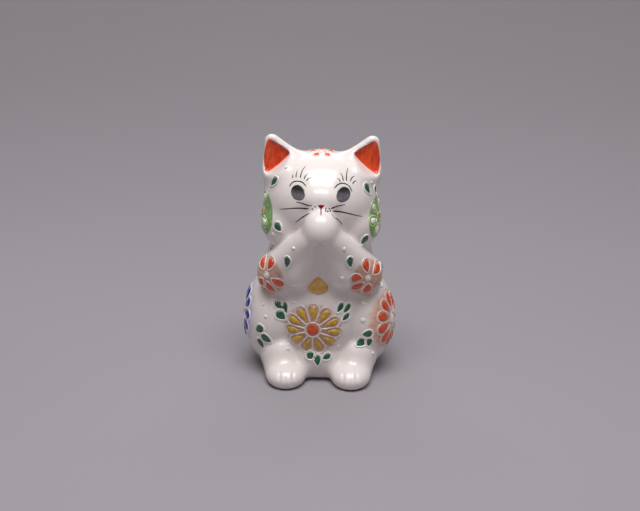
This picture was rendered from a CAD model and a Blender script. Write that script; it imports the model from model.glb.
import math

import bpy
import numpy as np
import openvdb as vdb
from mathutils import Matrix, Vector
from mathutils.bvhtree import BVHTree


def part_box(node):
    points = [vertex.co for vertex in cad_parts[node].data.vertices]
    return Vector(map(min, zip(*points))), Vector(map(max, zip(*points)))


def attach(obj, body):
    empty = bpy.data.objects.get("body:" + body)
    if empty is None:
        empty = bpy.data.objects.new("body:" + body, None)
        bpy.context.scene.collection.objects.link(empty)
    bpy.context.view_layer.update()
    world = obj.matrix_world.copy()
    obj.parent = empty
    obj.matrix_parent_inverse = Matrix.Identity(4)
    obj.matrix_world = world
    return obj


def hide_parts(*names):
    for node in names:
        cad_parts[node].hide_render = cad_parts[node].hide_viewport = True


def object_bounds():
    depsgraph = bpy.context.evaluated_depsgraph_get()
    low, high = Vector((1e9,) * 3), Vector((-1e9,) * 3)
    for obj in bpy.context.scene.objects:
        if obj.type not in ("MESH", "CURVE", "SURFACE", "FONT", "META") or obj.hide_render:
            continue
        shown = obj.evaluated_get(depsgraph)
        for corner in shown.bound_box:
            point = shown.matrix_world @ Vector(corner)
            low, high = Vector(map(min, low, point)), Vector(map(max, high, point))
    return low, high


# A seated cat of glazed white porcelain with raised enamel flowers.
# The shaping is done in millimetres, and meshes are put in metres as they are made.
# The CAD's forms give every place. The looks are a seamless glazed skin over the castings, domed
# drops and trailed lines of enamel laid on that skin, and painted lines thinner than the CAD has.

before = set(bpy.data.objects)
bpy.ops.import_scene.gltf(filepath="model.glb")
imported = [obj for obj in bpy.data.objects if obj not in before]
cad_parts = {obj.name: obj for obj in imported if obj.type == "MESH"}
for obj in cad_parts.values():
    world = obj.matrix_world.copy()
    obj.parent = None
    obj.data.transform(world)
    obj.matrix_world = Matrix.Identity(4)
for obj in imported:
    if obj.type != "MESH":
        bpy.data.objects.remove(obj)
cad_low, cad_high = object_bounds()

MM = 1000.0
rng = np.random.default_rng(7)

# ---- reading the frame -------------------------------------------------------------------------


def node_mesh(name):
    """Corner points in mm, with doubled ones joined, and triangles."""
    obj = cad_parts[name]
    mesh = obj.data
    mesh.calc_loop_triangles()
    points = np.empty(3 * len(mesh.vertices))
    mesh.vertices.foreach_get("co", points)
    matrix = np.array(obj.matrix_world)
    points = (points.reshape(-1, 3) @ matrix[:3, :3].T + matrix[:3, 3]) * MM
    triangles = np.empty(3 * len(mesh.loop_triangles), dtype=np.int64)
    mesh.loop_triangles.foreach_get("vertices", triangles)
    _, first, joined = np.unique(np.round(points, 3), axis=0, return_index=True, return_inverse=True)
    return points[first], joined.reshape(-1)[triangles].reshape(-1, 3)


def box_mm(name):
    low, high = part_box(name)
    return np.array(low) * MM, np.array(high) * MM


def middle(name):
    low, high = box_mm(name)
    return (low + high) / 2


def islands(name):
    """The node's separate lumps, each as (points, triangles)."""
    points, triangles = node_mesh(name)
    label = np.arange(len(points))
    while True:
        least = label[triangles].min(axis=1)
        fresh = label.copy()
        for corner in range(3):
            np.minimum.at(fresh, triangles[:, corner], least)
        fresh = fresh[fresh]
        if (fresh == label).all():
            break
        label = fresh
    lumps = []
    for root in np.unique(label[triangles[:, 0]]):
        lumps.append((points, triangles[label[triangles[:, 0]] == root]))
    return lumps


# ---- the glazed skin ---------------------------------------------------------------------------

voxel = 0.6
margin = 3.0
band = 10
low_corner = np.array(cad_low) * MM - margin
size = np.ceil((np.array(cad_high) * MM + margin - low_corner) / voxel).astype(int) + 1
grid_x, grid_y, grid_z = [
    (low_corner[axis] + voxel * np.arange(size[axis])).reshape([-1 if a == axis else 1 for a in range(3)])
    for axis in range(3)
]


def distances(points, triangles):
    """Distance in mm from each grid point to the surface, negative inside, as far as the band goes."""
    grid = vdb.FloatGrid.createLevelSetFromPolygons(
        (points - low_corner).astype(np.float32),
        triangles=triangles.astype(np.uint32),
        transform=vdb.createLinearTransform(voxelSize=voxel),
        halfWidth=band,
    )
    dense = np.empty(size, dtype=np.float32)
    grid.copyToArray(dense, ijk=(0, 0, 0))
    return dense


def seen_from_outside(empty):
    """The empty grid points that a straight look along x or y, or down, can reach."""
    seen = np.zeros_like(empty)
    for axis, flips in ((0, (False, True)), (1, (False, True)), (2, (True,))):
        for flip in flips:
            view = np.flip(empty, axis) if flip else empty
            reached = np.logical_and.accumulate(view, axis=axis)
            seen |= np.flip(reached, axis) if flip else reached
    return seen


def sampled(mask, points):
    index = np.clip(np.rint((points - low_corner) / voxel).astype(int), 0, size - 1)
    return mask[index[:, 0], index[:, 1], index[:, 2]]


def filled(name):
    """Distance to the outer surface of a hollow casting, as if it were solid."""
    points, triangles = node_mesh(name)
    outside = seen_from_outside(distances(points, triangles) > 0)
    corners = points[triangles]
    normals = np.cross(corners[:, 1] - corners[:, 0], corners[:, 2] - corners[:, 0])
    normals /= np.linalg.norm(normals, axis=1, keepdims=True) + 1e-12
    step_off = 1.2
    outer = sampled(outside, corners.mean(axis=1) + step_off * normals)
    return np.where(outside, 1, -1) * np.abs(distances(points, triangles[outer]))


def blurred(values, spread):
    """Gaussian blur. spread is in mm."""
    reach = int(math.ceil(2.5 * spread / voxel))
    weights = np.exp(-0.5 * (np.arange(-reach, reach + 1) * voxel / spread) ** 2)
    weights /= weights.sum()
    for axis in range(3):
        pad = [(reach, reach) if a == axis else (0, 0) for a in range(3)]
        padded = np.pad(values, pad, mode="edge")
        total = np.zeros_like(values)
        for index, weight in enumerate(weights):
            part = [slice(None)] * 3
            part[axis] = slice(index, index + values.shape[axis])
            total += weight * padded[tuple(part)]
        values = total
    return values


def joined(a, b, blend):
    """Smooth union: the crease between the two is filled over that width."""
    share = np.clip(0.5 + 0.5 * (b - a) / blend, 0, 1)
    return b + (a - b) * share - blend * share * (1 - share)


def carved(a, b, blend):
    return -joined(-a, b, blend)


def rod(start, end, radius):
    """Distance to a straight rod with round ends."""
    start, end = np.array(start), np.array(end)
    along = end - start
    away = [grid - corner for grid, corner in zip((grid_x, grid_y, grid_z), start)]
    share = sum(part * step for part, step in zip(away, along)) / (along @ along)
    share = np.clip(share, 0, 1)
    return np.sqrt(sum((part - share * step) ** 2 for part, step in zip(away, along))) - radius


def lining_corners(name):
    """The top, inner and low corner of the ear's lining, from its CAD node."""
    points, triangles = node_mesh(name)
    side = 1.0 if middle(name)[0] > 0 else -1.0
    top = points[np.argmax(points[:, 2])]
    inner = points[np.argmin(side * points[:, 0])]
    low = points[np.argmin(points[:, 2])]
    rim_shift = {"top": (0.7 * side, 0.0, 0.4), "low": (-0.1 * side, 0.0, -0.2)}
    return top + rim_shift["top"], inner, low + rim_shift["low"]


def lining_outline(name):
    """The mouth of the scoop from in front: rounded corners, and an outer side that bulges."""
    corners = np.array(lining_corners(name))[:, [0, 2]]
    bulges = (0.3, 0.6, 1.3)
    sides = []
    for index, bulge in enumerate(bulges):
        start, end = corners[index], corners[(index + 1) % 3]
        outward = (start + end) / 2 - corners.mean(axis=0)
        outward /= np.linalg.norm(outward)
        share = np.linspace(0.1, 0.9, 12)[:, None]
        sides.append(start + share * (end - start) + 4 * bulge * share * (1 - share) * outward)
    path = []
    for index in range(3):
        before, after = sides[index - 1], sides[index]
        corner = corners[index]
        t = np.linspace(0, 1, 6)[1:-1, None]
        path.append((1 - t) ** 2 * before[-1] + 2 * t * (1 - t) * corner + t * t * after[0])
        path.append(after)
    return np.vstack(path)


def scoop(name):
    """Distance to the wedge that is scooped out of the ear's front."""
    outline = lining_outline(name)
    glaze_depth = 0.4
    inset = 0.25
    slope = 0.16
    floor_y = box_mm(name)[1][1] - glaze_depth
    ahead = floor_y - grid_y
    flat_x, flat_z = np.broadcast_arrays(grid_x, grid_z)
    flat_x, flat_z = flat_x[:, :1, :], flat_z[:, :1, :]
    across = np.full(flat_x.shape, np.inf)
    inside = np.zeros(flat_x.shape, bool)
    for (ax, az), (bx, bz) in zip(outline, np.roll(outline, -1, axis=0)):
        share = ((flat_x - ax) * (bx - ax) + (flat_z - az) * (bz - az)) / ((bx - ax) ** 2 + (bz - az) ** 2)
        share = np.clip(share, 0, 1)
        gap = np.hypot(flat_x - ax - share * (bx - ax), flat_z - az - share * (bz - az))
        across = np.minimum(across, gap)
        crossed = (az > flat_z) != (bz > flat_z)
        inside ^= crossed & (flat_x < ax + (flat_z - az) * (bx - ax) / (bz - az + 1e-9))
    across = np.where(inside, -across, across)
    return np.maximum(-ahead, across - slope * ahead + inset).astype(np.float32)


torso_softness = 0.8
head_softness = 1.5
foreleg_softness = 1.3
neck_blend = 4.0
between_forelegs_blend = 1.0
foreleg_blend = 3.0
foot_blend = 4.0
ear_blend = 4.0
tail_blend = 2.0
torso_field = blurred(filled("torso_shell"), torso_softness)
skin_field = joined(torso_field, blurred(filled("head_shell"), head_softness), neck_blend)
forelegs = [distances(*node_mesh(side + "_foreleg")) for side in ("left", "right")]
both_forelegs = blurred(joined(*forelegs, between_forelegs_blend), foreleg_softness)
skin_field = joined(skin_field, both_forelegs, foreleg_blend)
for side in ("left", "right"):
    skin_field = joined(skin_field, distances(*node_mesh(side + "_foot")), foot_blend)
    skin_field = joined(skin_field, distances(*node_mesh(side + "_ear")), ear_blend)
skin_field = joined(skin_field, distances(*node_mesh("tail")), tail_blend)

# The valley between the forelegs, from under the paws nearly to the bell.
paws_front = box_mm("right_foreleg")[0][1]
valley_top = (0.0, paws_front + 2.2, middle("nose")[2] - 18.5)
valley_foot = (0.0, paws_front + 4.6, box_mm("gilt_bell")[1][2] + 4.0)
valley_radius = 2.6
valley_blend = 4.0
valley = rod(valley_top, valley_foot, valley_radius).astype(np.float32)
skin_field = carved(skin_field, valley, valley_blend)

scoop_blend = 0.9
for side in ("left", "right"):
    skin_field = carved(skin_field, scoop(side + "_ear_lining"), scoop_blend)

floor_height = cad_low[2] * MM
base_rounding = 1.2
skin_field = -joined(-skin_field, (grid_z - floor_height) + 0.0 * skin_field, base_rounding)
vent_radius = 4.5
vent_depth = 4.0
vent_rounding = 0.5
bore = np.hypot(grid_x, grid_y) - vent_radius + 0.0 * grid_z
bore = np.maximum(bore, grid_z - floor_height - vent_depth)
skin_field = carved(skin_field, bore.astype(np.float32), vent_rounding)

surface = vdb.FloatGrid(margin)
surface.copyFromArray(np.clip(skin_field, -margin, margin).astype(np.float32))
surface.transform = vdb.createLinearTransform(voxelSize=voxel)
skin_points, skin_quads = surface.convertToQuads(isovalue=0.0)
skin_points = skin_points.astype(float) + low_corner


def volume_of(points, quads):
    a, b, c, d = (points[quads[:, corner]] for corner in range(4))
    return (np.cross(b - a, c - a) * a).sum() + (np.cross(c - a, d - a) * a).sum()


if volume_of(skin_points, skin_quads) < 0:
    skin_quads = skin_quads[:, ::-1]


def corner_normals(points, quads):
    across = np.cross(points[quads[:, 2]] - points[quads[:, 0]], points[quads[:, 3]] - points[quads[:, 1]])
    normals = np.zeros_like(points)
    for corner in range(4):
        np.add.at(normals, quads[:, corner], across)
    return normals / (np.linalg.norm(normals, axis=1, keepdims=True) + 1e-12)


# Toes: shallow grooves down the front of each foot.
groove_depth = 0.42
groove_width = 0.6
skin_normals = corner_normals(skin_points, skin_quads)
for side, sign in (("left", 1.0), ("right", -1.0)):
    foot_low, foot_high = box_mm(side + "_foot")
    foot_x = (foot_low[0] + foot_high[0]) / 2
    for spread in (-3.0, -0.4, 2.2):
        x, y, z = skin_points.T
        across = x - (foot_x + sign * spread + 0.06 * sign * spread * (foot_low[1] + 6.0 - y) / 6.0)
        near = np.exp(-((across / groove_width) ** 2))
        front = np.clip((foot_low[1] + 7.5 - y) / 4.0, 0, 1) * np.clip((foot_high[2] - 0.5 - z) / 2.5, 0, 1)
        front *= np.clip((z - 1.0) / 1.5, 0, 1)
        skin_points -= skin_normals * (groove_depth * near * front * (y < 0))[:, None]
skin_normals = corner_normals(skin_points, skin_quads)


# ---- making pieces -----------------------------------------------------------------------------


def new_piece(name, points, faces, material, replaced=()):
    mesh = bpy.data.meshes.new(name)
    points = np.asarray(points, dtype=np.float32) / MM
    faces = np.asarray(faces, dtype=np.int32)
    mesh.vertices.add(len(points))
    mesh.vertices.foreach_set("co", points.ravel())
    mesh.loops.add(faces.size)
    mesh.loops.foreach_set("vertex_index", faces.ravel())
    mesh.polygons.add(len(faces))
    corners = faces.shape[1]
    mesh.polygons.foreach_set("loop_start", np.arange(0, faces.size, corners, dtype=np.int32))
    mesh.polygons.foreach_set("use_smooth", np.ones(len(faces), dtype=bool))
    mesh.update(calc_edges=True)
    mesh.validate()
    obj = bpy.data.objects.new(name, mesh)
    bpy.context.scene.collection.objects.link(obj)
    mesh.materials.append(material)
    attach(obj, "root")
    if replaced:
        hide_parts(*replaced)
    return obj


skin_tree = BVHTree.FromPolygons([Vector(p) for p in skin_points.tolist()], skin_quads.tolist())


def laid(points, heights, toward, far=14.0):
    """Points dropped onto the skin along -toward, then raised off it by their heights."""
    toward = Vector(toward).normalized()
    out = np.empty((len(points), 3))
    for index, (point, height) in enumerate(zip(points, heights)):
        start = Vector(point) + toward * far
        hit, normal, face, _ = skin_tree.ray_cast(start, -toward, 3 * far)
        if hit is None:
            hit, normal, face, _ = skin_tree.find_nearest(Vector(point))
        smooth = skin_normals[skin_quads[face]].mean(axis=0)
        smooth /= np.linalg.norm(smooth)
        out[index] = np.array(hit) + smooth * height
    return out


def skin_normal_near(point):
    _, _, face, _ = skin_tree.find_nearest(Vector(point))
    smooth = skin_normals[skin_quads[face]].mean(axis=0)
    return smooth / np.linalg.norm(smooth)


def pressed(points, heights):
    """Points moved to the nearest place on the skin, then raised off it by their heights."""
    out = np.empty((len(points), 3))
    for index, (point, height) in enumerate(zip(points, heights)):
        hit, _, face, _ = skin_tree.find_nearest(Vector(point))
        smooth = skin_normals[skin_quads[face]].mean(axis=0)
        out[index] = np.array(hit) + smooth / np.linalg.norm(smooth) * height
    return out


class Seat:
    """A flat place beside the skin: a middle, and directions across, up and out."""

    def __init__(self, centre, out):
        self.out = np.array(out, dtype=float) / np.linalg.norm(out)
        up = np.array([0.0, 0.0, 1.0])
        if abs(self.out[2]) > 0.95:
            up = np.array([0.0, 1.0, 0.0])
        self.across = np.cross(up, self.out)
        self.across /= np.linalg.norm(self.across)
        self.up = np.cross(self.out, self.across)
        self.centre = np.array(centre, dtype=float)

    def place(self, flat):
        flat = np.asarray(flat, dtype=float)
        return self.centre + flat[:, :1] * self.across + flat[:, 1:2] * self.up

    def flatten(self, points):
        away = np.asarray(points) - self.centre
        return np.stack([away @ self.across, away @ self.up], axis=1)


class Batch:
    """Meshes gathered into one piece."""

    def __init__(self):
        self.points = []
        self.faces = []
        self.count = 0

    def add(self, points, faces):
        self.points.append(points)
        self.faces.append(np.asarray(faces) + self.count)
        self.count += len(points)

    def piece(self, name, material, replaced=()):
        points = np.concatenate(self.points)
        return new_piece(name, points, np.concatenate(self.faces), material, replaced)


def rings_faces(rings, around, closed_middle):
    faces = []
    for ring in range(rings - 1):
        for step in range(around):
            following = (step + 1) % around
            a = ring * around + step
            b = ring * around + following
            faces.append((a, b, b + around, a + around))
    if closed_middle:
        last = (rings - 1) * around
        for step in range(0, around, 2):
            a, b, c = last + step, last + (step + 1) % around, last + (step + 2) % around
            faces.append((a, b, c, rings * around))
    return faces


def dome(batch, seat, outline, height, core=(0.0, 0.0), fullness=0.55, far=14.0):
    """A glassy drop of enamel: full in the middle, and meeting the skin round its outline."""
    outline = np.asarray(outline)
    around = len(outline)
    shares = (1.0, 0.985, 0.93, 0.84, 0.7, 0.5, 0.25)
    flat = []
    heights = []
    for share in shares:
        flat.append(np.asarray(core) + share * (outline - core))
        rise = -0.12 if share == 1.0 else height * (1 - share ** 2.6) ** fullness
        heights += [rise] * around
    flat.append(np.asarray([core]))
    heights.append(height)
    points = laid(seat.place(np.concatenate(flat)), heights, seat.out, far)
    batch.add(points, rings_faces(len(shares), around, True))


def line(batch, seat, path, width, height, closed=True, taper=0.0, wobble=0.06):
    """A trailed or painted line along a flat path. taper is how much of its width the ends lose."""
    path = evenly(path, 0.42, closed)
    count = len(path)
    along = np.linspace(0, 1, count)
    waves = np.sin(2 * math.pi * (along * rng.integers(2, 5) + rng.random()))
    waves += 0.6 * np.sin(2 * math.pi * (along * rng.integers(5, 9) + rng.random()))
    half = width / 2 * (1 + wobble * waves)
    if not closed:
        half *= 1 - taper * along ** 1.3
        half *= np.clip(8 * np.minimum(along + 0.04, 1.04 - along), 0.3, 1)
    middle_line = laid(seat.place(path), np.zeros(count), seat.out)
    tangents = np.roll(middle_line, -1, axis=0) - np.roll(middle_line, 1, axis=0)
    if not closed:
        tangents = np.gradient(middle_line, axis=0)
    profile = (-1.0, -0.86, -0.5, 0.0, 0.5, 0.86, 1.0)
    outward = np.array([skin_normal_near(point) for point in middle_line])
    across = np.cross(outward, tangents)
    across /= np.linalg.norm(across, axis=1, keepdims=True) + 1e-12
    points = []
    for t in profile:
        rise = height * math.sqrt(max(0.0, 1 - t * t)) * half / (width / 2)
        if abs(t) == 1.0:
            rise = np.full(count, -0.08)
        points.append(pressed(middle_line + across * (half * t)[:, None], rise))
    points = np.concatenate(points)
    faces = []
    steps = count if closed else count - 1
    for row in range(len(profile) - 1):
        for step in range(steps):
            following = (step + 1) % count
            faces.append((row * count + step, (row + 1) * count + step,
                          (row + 1) * count + following, row * count + following))
    batch.add(points, np.asarray(faces)[:, ::-1])


def evenly(path, spacing, closed):
    """The same path with its points that far apart."""
    path = np.asarray(path, dtype=float)
    if closed:
        path = np.vstack([path, path[:1]])
    lengths = np.concatenate([[0], np.cumsum(np.linalg.norm(np.diff(path, axis=0), axis=1))])
    count = max(4, int(round(lengths[-1] / spacing)))
    wanted = np.linspace(0, lengths[-1], count + 1)
    if closed:
        wanted = wanted[:-1]
    return np.stack([np.interp(wanted, lengths, path[:, axis]) for axis in range(2)], axis=1)


def curved(points, count=24):
    """A smooth path through flat points."""
    points = np.asarray(points, dtype=float)
    ends = np.vstack([2 * points[0] - points[1], points, 2 * points[-1] - points[-2]])
    path = []
    for a, b, c, d in zip(ends, ends[1:], ends[2:], ends[3:]):
        for t in np.linspace(0, 1, count, endpoint=False):
            path.append(0.5 * (2 * b + (c - a) * t + (2 * a - 5 * b + 4 * c - d) * t * t
                               + (3 * b - a - 3 * c + d) * t ** 3))
    path.append(points[-1])
    return np.array(path)


def drop_outline(length, width, tilt=0.0, centre=(0.0, 0.0), pointed=1.0, around=28):
    """Flat outline of a drop: a broad round end towards tilt (in radians), and a narrower one.
    pointed is 1 for a round broad end, and more for one that comes to a point."""
    turn = np.linspace(0, 2 * math.pi, around, endpoint=False)
    along = 0.5 - 0.5 * np.cos(turn)
    widest = 0.66
    broad_part = np.clip(1 - ((along - widest) / (1 - widest)) ** 2, 0, 1) ** (0.5 * pointed)
    narrow_part = np.sin(math.pi / 2 * np.clip(along / widest, 0, 1)) ** 0.85
    half = width / 2 * np.where(along > widest, broad_part, narrow_part)
    x = (along - 0.5) * length
    y = np.where(turn > math.pi, half, -half)
    c, s = math.cos(tilt), math.sin(tilt)
    return np.stack([centre[0] + c * x - s * y, centre[1] + s * x + c * y], axis=1)


def round_outline(radius, centre=(0.0, 0.0), around=28, squash=1.0):
    turn = np.linspace(0, 2 * math.pi, around, endpoint=False)
    return np.stack([centre[0] + radius * np.cos(turn), centre[1] + squash * radius * np.sin(turn)], axis=1)


class Lump:
    """What the CAD says of one drop: where it is, which way it faces and points, and its size."""

    def __init__(self, points, triangles):
        corners = points[triangles]
        normals = np.cross(corners[:, 1] - corners[:, 0], corners[:, 2] - corners[:, 0]) / 2
        areas = np.linalg.norm(normals, axis=1)
        centres = corners.mean(axis=1)
        self.centre = (centres * areas[:, None]).sum(axis=0) / areas.sum()
        used = points[np.unique(triangles)]
        _, out, _, _ = skin_tree.find_nearest(Vector(self.centre))
        self.seat = Seat(self.centre, out)
        flat = self.seat.flatten(used)
        _, flat_axes = np.linalg.eigh(np.cov(flat.T))
        self.along = flat_axes[:, 1]
        reach = flat @ self.along
        self.length = reach.max() - reach.min()
        side = flat @ np.array([-self.along[1], self.along[0]])
        self.width = side.max() - side.min()
        self.middle = self.along * (reach.max() + reach.min()) / 2
        self.middle = self.middle + np.array([-self.along[1], self.along[0]]) * (side.max() + side.min()) / 2
        if (reach.max() + reach.min()) / 2 > 0:
            self.along = -self.along
        self.tilt = math.atan2(self.along[1], self.along[0])


def lumps(name):
    return [Lump(*island) for island in islands(name)]


# ---- materials ---------------------------------------------------------------------------------


def linear(red, green, blue):
    """Colour from 0-255 display values, by the sRGB curve and its straight foot."""
    straight_foot = 10
    parts = []
    for value in (red, green, blue):
        share = value / 255
        parts.append(((share + 0.055) / 1.055) ** 2.4 if value > straight_foot else share / 12.92)
    return (*parts, 1.0)


class Nodes:
    """Short names for building a node tree."""

    def __init__(self, name):
        self.material = bpy.data.materials.new(name)
        self.material.use_nodes = True
        self.tree = self.material.node_tree
        self.shader = self.tree.nodes["Principled BSDF"]

    def add(self, kind, inputs=(), **settings):
        node = self.tree.nodes.new(kind)
        for key, value in settings.items():
            setattr(node, key, value)
        for key, value in dict(inputs).items():
            self.put(node.inputs[key], value)
        return node

    def put(self, socket, value):
        if isinstance(value, bpy.types.NodeSocket):
            self.tree.links.new(value, socket)
        else:
            socket.default_value = value

    def place(self):
        return self.add("ShaderNodeTexCoord").outputs["Object"]

    def noise(self, scale, detail=3.0, roughness=0.5):
        node = self.add("ShaderNodeTexNoise", {"Vector": self.place(), "Scale": scale, "Detail": detail,
                                               "Roughness": roughness})
        return node.outputs["Fac"]

    def maths(self, operation, a, b=0.0, clamp=False):
        return self.add("ShaderNodeMath", {0: a, 1: b}, operation=operation, use_clamp=clamp).outputs[0]

    def vector(self, operation, a, b=(0.0, 0.0, 0.0)):
        return self.add("ShaderNodeVectorMath", {0: a, 1: b}, operation=operation)

    def ramp(self, value, low, high, to_low=0.0, to_high=1.0, smooth=True):
        node = self.add("ShaderNodeMapRange", {"Value": value, "From Min": low, "From Max": high,
                                               "To Min": to_low, "To Max": to_high})
        node.interpolation_type = "SMOOTHSTEP" if smooth else "LINEAR"
        return node.outputs["Result"]

    def mix(self, share, a, b):
        node = self.add("ShaderNodeMix", data_type="RGBA")
        self.put(node.inputs["Factor"], share)
        self.put(node.inputs["A"], a)
        self.put(node.inputs["B"], b)
        return node.outputs["Result"]

    def bump(self, height, strength, distance):
        node = self.add("ShaderNodeBump", {"Height": height, "Strength": strength, "Distance": distance})
        return node.outputs["Normal"]


def enamel(name, thin, thick, roughness=0.12, gloss=0.5, grain=900.0):
    """Glassy coloured enamel: its colour deepens and lightens in patches, as it pools."""
    nodes = Nodes(name)
    patches = nodes.ramp(nodes.noise(grain, 3.0), 0.3, 0.7)
    nodes.put(nodes.shader.inputs["Base Color"], nodes.mix(patches, thin, thick))
    nodes.put(nodes.shader.inputs["Normal"], nodes.bump(nodes.noise(1400.0, 2.0), 0.15, 0.0001))
    worn = nodes.ramp(nodes.noise(600.0), 0.3, 0.7, roughness, roughness + 0.12)
    nodes.put(nodes.shader.inputs["Roughness"], worn)
    nodes.shader.inputs["Specular IOR Level"].default_value = gloss
    nodes.shader.inputs["Coat Weight"].default_value = gloss
    nodes.shader.inputs["Coat Roughness"].default_value = 0.06
    return nodes.material


glazes = {
    "white": enamel("white_enamel", linear(238, 230, 228), linear(250, 244, 242), 0.16),
    "petal_line": enamel("petal_line_enamel", linear(226, 204, 196), linear(240, 222, 214), 0.2),
    "green": enamel("green_enamel", linear(22, 78, 50), linear(46, 112, 76), 0.14),
    "yellow": enamel("yellow_enamel", linear(222, 182, 66), linear(192, 146, 44), 0.14),
    "orange": enamel("orange_enamel", linear(230, 88, 42), linear(206, 64, 28), 0.14),
    "blue": enamel("blue_enamel", linear(52, 48, 176), linear(34, 28, 132), 0.14),
    "pink": enamel("pink_enamel", linear(214, 84, 76), linear(190, 60, 58), 0.16),
    "pale_green": enamel("pale_green_enamel", linear(172, 206, 132), linear(190, 218, 150), 0.2),
    "nose_red": enamel("nose_red_enamel", linear(120, 8, 12), linear(150, 16, 20), 0.4, 0.1),
    "brush_black": enamel("brush_black_enamel", linear(30, 22, 24), linear(52, 40, 40), 0.4, 0.1),
}


def flower_wash(nodes, colour, name, radius, edge, strength, tint, squash, shift, streaks):
    """Thin colour painted on the glaze round a flower, fading over its edge."""
    centre = (middle(name) + np.array(shift)) / MM
    away = nodes.vector("SUBTRACT", nodes.place(), tuple(centre)).outputs[0]
    away = nodes.vector("MULTIPLY", away, squash).outputs[0]
    reach = nodes.vector("LENGTH", away).outputs["Value"]
    ragged = nodes.maths("MULTIPLY", nodes.maths("SUBTRACT", nodes.noise(260.0, 2.0), 0.5), edge / MM * 2.0)
    reach = nodes.maths("ADD", reach, ragged)
    amount = nodes.ramp(reach, (radius - edge) / MM, (radius + edge) / MM, strength, 0.0)
    brushed = nodes.ramp(nodes.noise(700.0, 4.0), 0.25, 0.7, 1 - streaks, 1.0)
    amount = nodes.maths("MULTIPLY", amount, brushed)
    return nodes.mix(amount, colour, tint)


def porcelain():
    """Clear glaze over warm white clay, washed with thin colour round the flowers, bare under the base."""
    nodes = Nodes("white_porcelain_glaze")
    cloudy = nodes.ramp(nodes.noise(60.0, 2.0), 0.3, 0.7)
    colour = nodes.mix(cloudy, linear(238, 227, 224), linear(242, 231, 228))
    # Each wash is its flower, then radius, edge width, strength, colour, squash, shift and streaks.
    washes = [("belly_flower", 11.4, 1.2, 0.92, (186, 128, 86), (1, 0.6, 1.12), (0, 0, 0), 0.35)]
    for side in ("left", "right"):
        washes += [
            (side + "_elbow_flower", 8.4, 1.2, 0.85, (200, 134, 96), (1.15, 0.7, 0.92), (0, 0, -1.6), 0.3),
            (side + "_cheek_flower", 9.0, 0.35, 0.97, (104, 164, 60), (2.0, 0.6, 0.95), (0, -6.0, 0), 0.3),
        ]
    washes += [
        ("left_haunch_flower", 12.2, 1.4, 0.85, (214, 138, 96), (0.6, 0.95, 1.0), (0, 0, 0), 0.35),
        ("right_haunch_flower", 12.2, 2.4, 0.7, (150, 168, 216), (0.6, 0.92, 1.0), (0, 0, 0), 0.3),
        ("back_flower", 11.3, 1.4, 0.7, (210, 150, 150), (1.0, 0.6, 1.05), (0, 0, 0), 0.35),
    ]
    for name, radius, edge, strength, tint, squash, shift, streaks in washes:
        colour = flower_wash(nodes, colour, name + "_heart", radius, edge, strength, linear(*tint), squash,
                             shift, streaks)
    height = nodes.add("ShaderNodeSeparateXYZ", {0: nodes.place()}).outputs["Z"]
    bare = nodes.ramp(height, (floor_height + 0.3) / MM, (floor_height + 0.9) / MM, 1.0, 0.0)
    nodes.put(nodes.shader.inputs["Base Color"], nodes.mix(bare, colour, linear(206, 196, 180)))
    satin = nodes.ramp(nodes.noise(45.0), 0.3, 0.7, 0.2, 0.26)
    dull = nodes.ramp(bare, 0.0, 1.0, 0.0, 0.6)
    nodes.put(nodes.shader.inputs["Roughness"], nodes.maths("ADD", dull, satin))
    nodes.put(nodes.shader.inputs["Normal"], nodes.bump(nodes.noise(70.0, 2.0), 0.12, 0.0008))
    nodes.shader.inputs["Specular IOR Level"].default_value = 0.4
    nodes.shader.inputs["Coat Weight"].default_value = 0.35
    nodes.shader.inputs["Coat Roughness"].default_value = 0.025
    nodes.shader.inputs["Subsurface Weight"].default_value = 0.12
    nodes.shader.inputs["Subsurface Radius"].default_value = (0.002, 0.0016, 0.0013)
    nodes.shader.inputs["Subsurface Scale"].default_value = 1.0
    return nodes.material


def eye_glaze(name, centre_z, radius):
    """Thin black enamel: solid round the rim and at the top, and worn to grey lower down."""
    nodes = Nodes(name)
    height = nodes.add("ShaderNodeSeparateXYZ", {0: nodes.place()}).outputs["Z"]
    fade = nodes.ramp(height, (centre_z - 0.55 * radius) / MM, (centre_z + 0.45 * radius) / MM, 1.0, 0.0)
    streaks = nodes.ramp(nodes.noise(900.0, 3.0), 0.3, 0.7, 0.6, 1.0)
    share = nodes.maths("MULTIPLY", fade, streaks)
    nodes.put(nodes.shader.inputs["Base Color"], nodes.mix(share, linear(30, 27, 31), linear(126, 118, 126)))
    nodes.put(nodes.shader.inputs["Roughness"], nodes.ramp(nodes.noise(500.0), 0.3, 0.7, 0.18, 0.3))
    nodes.shader.inputs["Coat Weight"].default_value = 0.8
    nodes.shader.inputs["Coat Roughness"].default_value = 0.04
    return nodes.material


def ear_glaze():
    """Brushed orange-red over white: strokes down the scoop, and thinner, lighter colour at its foot."""
    nodes = Nodes("ear_lining_enamel")
    stretched = nodes.vector("MULTIPLY", nodes.place(), (1.0, 1.0, 0.35)).outputs[0]
    strokes = nodes.add("ShaderNodeTexNoise", {"Vector": stretched, "Scale": 700.0, "Detail": 4.0})
    share = nodes.ramp(strokes.outputs["Fac"], 0.3, 0.7)
    colour = nodes.mix(share, linear(214, 52, 14), linear(242, 92, 36))
    nodes.put(nodes.shader.inputs["Base Color"], colour)
    nodes.put(nodes.shader.inputs["Roughness"], nodes.ramp(nodes.noise(500.0), 0.3, 0.7, 0.22, 0.36))
    nodes.put(nodes.shader.inputs["Normal"], nodes.bump(strokes.outputs["Fac"], 0.25, 0.0002))
    nodes.shader.inputs["Coat Weight"].default_value = 0.4
    nodes.shader.inputs["Coat Roughness"].default_value = 0.1
    return nodes.material


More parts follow.
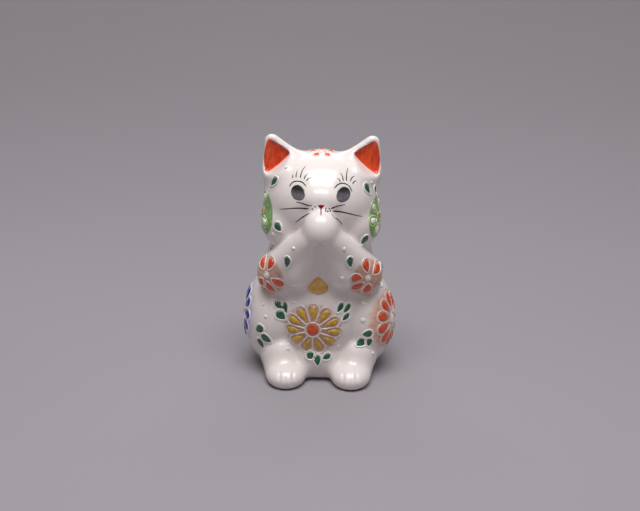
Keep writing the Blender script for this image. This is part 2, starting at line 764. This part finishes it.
def gold():
    nodes = Nodes("gilding")
    patches = nodes.ramp(nodes.noise(320.0, 3.0), 0.3, 0.7)
    colour = nodes.mix(patches, linear(236, 192, 118), linear(214, 164, 88))
    nodes.put(nodes.shader.inputs["Base Color"], colour)
    nodes.put(nodes.shader.inputs["Roughness"], nodes.ramp(nodes.noise(420.0), 0.3, 0.7, 0.3, 0.46))
    nodes.put(nodes.shader.inputs["Normal"], nodes.bump(nodes.noise(500.0, 3.0), 0.35, 0.0002))
    nodes.shader.inputs["Metallic"].default_value = 0.35
    return nodes.material


# ---- the skin and what is laid on it -----------------------------------------------------------

castings = ["torso_shell", "head_shell", "tail"]
castings += [side + part for side in ("left", "right") for part in ("_ear", "_foreleg", "_foot")]
new_piece("glazed_porcelain", skin_points, skin_quads, porcelain(), castings)

line_width = 0.78
line_height = 0.26
drop_height = 0.55
dot_height = 0.5


def scallops(webs, seat, spots, inner_radius, cap):
    """Lines between neighbouring petals, running out from the heart, and a round cap over each petal."""
    spots = sorted(spots, key=lambda spot: math.atan2(spot[1], spot[0]))
    angles = [math.atan2(spot[1], spot[0]) for spot in spots]
    radii = [math.hypot(*spot) for spot in spots]
    count = len(spots)
    edges = []
    for index in range(count):
        following = (index + 1) % count
        gap = (angles[following] - angles[index]) % (2 * math.pi)
        edges.append((angles[index] + gap / 2, (radii[index] + radii[following]) / 2))
    for index in range(count):
        before, after = edges[index - 1], edges[index]
        span = (after[0] - before[0]) % (2 * math.pi)
        path = []
        for t in np.linspace(-1, 1, 21):
            angle = before[0] + span * (t + 1) / 2
            base = before[1] + (after[1] - before[1]) * (t + 1) / 2
            reach = base + cap * max(0.0, 1 - abs(t) ** 2.3) ** 0.55
            path.append((reach * math.cos(angle), reach * math.sin(angle)))
        line(webs, seat, path, 0.8, line_height, False, 0.0)
        ray = np.array([math.cos(after[0]), math.sin(after[0])])
        line(webs, seat, [ray * inner_radius, ray * (after[1] + 0.1)], 0.74, line_height, False, 0.0)


def flower(name, petal_glaze, heart_glaze, line_glaze, petal_span, cell_span, heart_share=1.0):
    """Domed petals, the trailed lines round each, and the heart, where the CAD has them.
    petal_span is how far a petal reaches in and out from its CAD centre, and its width; cell_span
    is the same for the line round it, or None where neighbouring petals share their lines."""
    heart = lumps(name + "_heart")[0]
    seat = Seat(heart.centre, heart.seat.out)
    petals = Batch()
    webs = Batch()
    spots = []
    heart_radius = (heart.length + heart.width) / 4
    for petal in lumps(name + "_petals"):
        spot = seat.flatten([petal.centre])[0]
        tilt = math.atan2(spot[1], spot[0])
        ray = np.array([math.cos(tilt), math.sin(tilt)])
        jitter = rng.normal(0, 0.025, 3)
        inner, outer, width = petal_span
        outline = drop_outline((inner + outer) * (1 + jitter[0]), width * (1 + jitter[1]), tilt + jitter[2],
                               spot + ray * (outer - inner) / 2)
        dome(petals, seat, outline, drop_height, spot + ray * (0.66 * (inner + outer) - inner))
        spots.append(spot)
        if cell_span:
            inner, outer, width = cell_span
            cell_middle = spot + ray * (outer - inner) / 2
            cell = drop_outline(inner + outer, width, tilt, cell_middle, 1.0, 64)
            line(webs, seat, cell, line_width, line_height)
    if not cell_span:
        scallops(webs, seat, spots, heart_radius + 0.4, 3.1)
    line(webs, seat, round_outline(heart_radius + 0.35), line_width, line_height)
    hearts = Batch()
    dome(hearts, seat, round_outline(heart_share * heart_radius), 0.75 * drop_height)
    petals.piece("enamel_" + name + "_petals", petal_glaze, [name + "_petals"])
    hearts.piece("enamel_" + name + "_heart", heart_glaze, [name + "_heart"])
    webs.piece("enamel_" + name + "_lines", line_glaze, [name + "_outlines"])


round_petal = (3.0, 2.1, 2.5)
broad_petal = (3.2, 2.6, 3.4)
flower("belly_flower", glazes["yellow"], glazes["orange"], glazes["petal_line"],
       round_petal, None, 0.8)
flower("left_haunch_flower", glazes["orange"], glazes["white"], glazes["petal_line"],
       broad_petal, None, 0.8)
flower("right_haunch_flower", glazes["blue"], glazes["orange"], glazes["white"],
       broad_petal, None, 0.8)
flower("back_flower", glazes["pink"], glazes["yellow"], glazes["petal_line"],
       round_petal, None, 0.8)
for side in ("left", "right"):
    flower(side + "_elbow_flower", glazes["orange"], glazes["white"], glazes["petal_line"],
           (2.1, 2.7, 3.1), (2.4, 3.4, 4.4))
    flower(side + "_cheek_flower", glazes["white"], glazes["orange"], glazes["pale_green"],
           (1.7, 1.9, 2.6), (2.7, 2.7, 4.2))
flower("crown_flower", glazes["orange"], glazes["white"], glazes["petal_line"],
       (1.2, 1.2, 1.7), (1.7, 1.7, 2.6))

for group, lines in (("head_leaves", "head_leaf_outlines"), ("arm_leaves", "arm_leaf_outlines"),
                     ("body_leaves", "body_leaf_outlines")):
    leaves = Batch()
    rims = Batch()
    for leaf in lumps(group):
        jitter = rng.normal(0, 0.03, 3)
        tilt = leaf.tilt + jitter[2]
        blade = drop_outline(1.12 * leaf.length * (1 + jitter[0]), 1.1 * leaf.width * (1 + jitter[1]), tilt,
                             leaf.middle, 1.5)
        dome(leaves, leaf.seat, blade, 0.8 * drop_height, leaf.middle + 0.14 * leaf.length * leaf.along)
        rim = drop_outline(1.1 * leaf.length + 1.2, 1.1 * leaf.width + 1.1, tilt, leaf.middle, 1.3, 64)
        line(rims, leaf.seat, rim, line_width, 1.3 * line_height)
    leaves.piece("enamel_" + group, glazes["green"], [group])
    rims.piece("enamel_" + lines, glazes["white"], [lines])

for group in ("head_dots", "body_dots"):
    dots = Batch()
    for dot in lumps(group):
        radius = (dot.length + dot.width) / 4
        radius *= 1.15 * (1 + rng.normal(0, 0.06))
        bead = round_outline(radius, dot.middle, squash=1 + rng.normal(0, 0.08))
        dome(dots, dot.seat, bead, dot_height, dot.middle, far=2.5)
    dots.piece("enamel_" + group, glazes["white"], [group])

# ---- the face ----------------------------------------------------------------------------------
# Painted places are offsets in mm, across and up, from the eye or nose that the CAD gives.


def facing(centre):
    """A place looked at from straight in front."""
    return Seat((centre[0], cad_low[1] * MM, centre[2]), (0.0, -1.0, 0.0))


brush_height = 0.06
face_lines = Batch()
eye_lines = {
    "right": (
        ((-3.5, 1.3), (-2.4, 2.9), (-0.3, 3.7), (1.8, 3.5), (3.2, 2.3)),
        ((-2.3, 4.6), (-2.3, 5.9)),
        ((-0.9, 5.0), (-0.9, 6.0), (-0.4, 7.4)),
        ((0.7, 5.1), (1.4, 7.3), (2.8, 9.2)),
        ((2.3, 4.9), (2.9, 6.2), (4.0, 7.0)),
        ((3.1, 4.4), (4.2, 5.4), (5.3, 5.8)),
    ),
    "left": (
        ((-3.7, 2.2), (-2.2, 3.4), (-0.2, 3.7), (2.2, 2.5), (3.5, 0.2)),
        ((-1.3, 4.4), (-1.7, 5.3), (-2.6, 5.9)),
        ((-0.1, 4.7), (-0.5, 6.3), (-1.4, 7.5)),
        ((1.1, 4.6), (1.2, 6.6), (1.7, 8.6)),
        ((2.7, 4.2), (3.3, 5.3), (4.5, 5.9)),
        ((3.6, 3.2), (4.2, 3.9), (5.3, 4.2)),
    ),
}
eye_shift = {"right": (-0.5, 0.0, -0.4), "left": (0.0, 0.0, -0.7)}
for side, strokes in eye_lines.items():
    node = side + "_eye"
    eye_low, eye_high = box_mm(node)
    face = facing((eye_low + eye_high) / 2 + eye_shift[side])
    pupil = Batch()
    radius = 2.85
    dome(pupil, face, round_outline(radius, (0.0, 0.0), 40, 0.98), 0.2, (0.0, 0.0), 0.5)
    glaze = eye_glaze(node + "_glaze", (eye_low[2] + eye_high[2]) / 2, radius)
    pupil.piece("painted_" + node, glaze, [node])
    lid = [(x, z + 0.3) for x, z in strokes[0]]
    line(face_lines, face, curved(lid), 0.6, brush_height, False, 0.2)
    for stroke in strokes[1:]:
        line(face_lines, face, curved(stroke), 0.55, brush_height, False, 0.55)

nose_seat = facing(middle("nose") - (0.0, 0.0, 0.5))
whiskers = (
    ((-4.4, -0.2), (-7.0, 0.2), (-10.0, 0.3)),
    ((-4.8, -1.4), (-10.5, -2.3), (-17.0, -4.1)),
    ((-4.5, -2.8), (-7.0, -5.2), (-10.3, -8.5)),
    ((3.9, -1.0), (6.4, -0.4), (9.7, -0.4)),
    ((4.5, -2.0), (10.4, -3.9), (16.9, -6.6)),
    ((4.3, -2.9), (6.6, -5.7), (8.8, -8.9)),
)
for stroke in whiskers:
    line(face_lines, nose_seat, curved(stroke), 0.65, brush_height, False, 0.55)
face_lines.piece("painted_face_lines", glazes["brush_black"])

muzzle_dots = Batch()
muzzle_spots = ((-4.0, 0.1), (-3.4, -1.2), (-2.4, -0.2), (1.8, -1.4),
                (2.7, -1.7), (3.7, -1.8), (3.3, -1.0), (1.9, -0.7))
for x, z in muzzle_spots:
    dome(muzzle_dots, nose_seat, round_outline(0.3, (x, z), 12), brush_height, (x, z))
muzzle_dots.piece("painted_muzzle_dots", glazes["brush_black"])

nose = Batch()
nose_corners = ((-1.5, 0.55), (0.0, 0.7), (1.5, 0.55), (0.4, -0.65), (-0.4, -0.65))
dome(nose, nose_seat, evenly(nose_corners, 0.22, True)[:28], 0.14, (0.0, 0.15))
line(nose, nose_seat, [(0.0, 0.0), (0.0, -2.6)], 0.62, 0.1, False, 0.3)
nose.piece("painted_nose", glazes["nose_red"], ["nose"])

for side in ("left", "right"):
    node = side + "_ear_lining"
    rounded = lining_outline(node)
    centre = rounded.mean(axis=0)
    seat = facing((0.0, 0.0, 0.0))
    outline = evenly(rounded, 0.5, True)
    outline = outline[: len(outline) // 2 * 2]
    shares = np.linspace(1.0, 0.05, 16)
    flat = np.concatenate([centre + share * (outline - centre) for share in shares] + [centre[None]])
    rises = np.full(len(flat), 0.12)
    rises[: len(outline)] = -0.05
    batch = Batch()
    batch.add(laid(seat.place(flat), rises, (0, -1, 0), 60.0), rings_faces(len(shares), len(outline), True))
    batch.piece("painted_" + node, ear_glaze(), [node])

# ---- the gilt bell -----------------------------------------------------------------------------

bell_middle = middle("gilt_bell")
bell_seat = facing(bell_middle)
# The bell as drawn from in front, in mm across and up from its middle.
bell_corners = ((-0.2, 4.6), (-2.0, 3.0), (-4.2, 0.0), (-4.3, -0.9), (-2.9, -2.4), (-0.3, -3.0), (2.5, -2.5),
                (3.9, -1.2), (3.8, 0.0), (1.6, 3.2))
bell_path = np.array(bell_corners)
bell_outline = evenly(curved(np.vstack([bell_path, bell_path[:1]]), 10)[:-1], 0.5, True)
bell_outline = bell_outline[: len(bell_outline) // 2 * 2]
gilt = Batch()
dome(gilt, bell_seat, bell_outline, 1.3, (0.0, -0.6), 0.42)
gilt.piece("gilt_bell_relief", gold(), ["gilt_bell"])

# ---- floor, light and camera -------------------------------------------------------------------

floor_mesh = bpy.data.meshes.new("floor")
floor_half = 6.0
floor_z = cad_low[2]
floor_corners = [(x * floor_half, y * floor_half, floor_z) for x, y in ((-1, -1), (1, -1), (1, 1), (-1, 1))]
floor_mesh.from_pydata(floor_corners, [], [(0, 1, 2, 3)])
floor = bpy.data.objects.new("floor", floor_mesh)
bpy.context.scene.collection.objects.link(floor)
paper = Nodes("floor_paper")
paper_clouds = paper.ramp(paper.noise(3.0, 2.0), 0.2, 0.8)
paper_colour = paper.mix(paper_clouds, linear(151, 146, 152), linear(154, 149, 155))
paper.put(paper.shader.inputs["Base Color"], paper_colour)
paper.shader.inputs["Roughness"].default_value = 0.85
floor_mesh.materials.append(paper.material)


def softbox(name, location, target, width, height, power):
    light = bpy.data.lights.new(name, "AREA")
    light.shape = "RECTANGLE"
    light.size = width
    light.size_y = height
    light.energy = power
    lamp = bpy.data.objects.new(name, light)
    bpy.context.scene.collection.objects.link(lamp)
    lamp.location = location
    lamp.rotation_euler = (Vector(target) - Vector(location)).to_track_quat("-Z", "Y").to_euler()
    return lamp


middle_of_cat = (0.0, 0.0, 0.05)
softbox("overhead", (0.0, -0.14, 0.68), middle_of_cat, 0.5, 0.25, 3.7)
softbox("high_strip", (0.0, -0.36, 0.72), middle_of_cat, 0.55, 0.01, 0.45)
softbox("low_strip", (0.0, -0.56, 0.58), middle_of_cat, 0.55, 0.01, 0.22)
softbox("far_floor", (0.0, 1.0, 0.9), (0.0, 0.8, 0.0), 1.6, 0.5, 5.2)

world = bpy.data.worlds.new("studio")
world.use_nodes = True
sky = world.node_tree
background = sky.nodes["Background"]
background.inputs["Color"].default_value = (1.0, 0.98, 0.98, 1.0)
direction = sky.nodes.new("ShaderNodeTexCoord")
split = sky.nodes.new("ShaderNodeSeparateXYZ")
fade = sky.nodes.new("ShaderNodeMapRange")
sky.links.new(direction.outputs["Generated"], split.inputs[0])
sky.links.new(split.outputs["Z"], fade.inputs["Value"])
fade.inputs["From Min"].default_value = 0.0
fade.inputs["From Max"].default_value = 1.0
fade.inputs["To Min"].default_value = 0.1
fade.inputs["To Max"].default_value = 0.24
sky.links.new(fade.outputs["Result"], background.inputs["Strength"])
bpy.context.scene.world = world
bpy.context.scene.view_settings.view_transform = "Standard"

camera_data = bpy.data.cameras.new("camera")
camera_data.lens = 81.0
camera_data.sensor_width = 36.0
camera_data.shift_y = -0.0008
camera = bpy.data.objects.new("camera", camera_data)
bpy.context.scene.collection.objects.link(camera)
elevation = math.radians(20.0)
target = Vector((-0.0001, 0.0, 0.0472))
back = Vector((0.0, -math.cos(elevation), math.sin(elevation)))
camera_distance = 0.6
camera.location = target + camera_distance * back
roll = math.radians(1.0)
turn = (-back).to_track_quat("-Z", "Y").to_matrix() @ Matrix.Rotation(roll, 3, "Z")
camera.rotation_euler = turn.to_euler()
bpy.context.scene.camera = camera
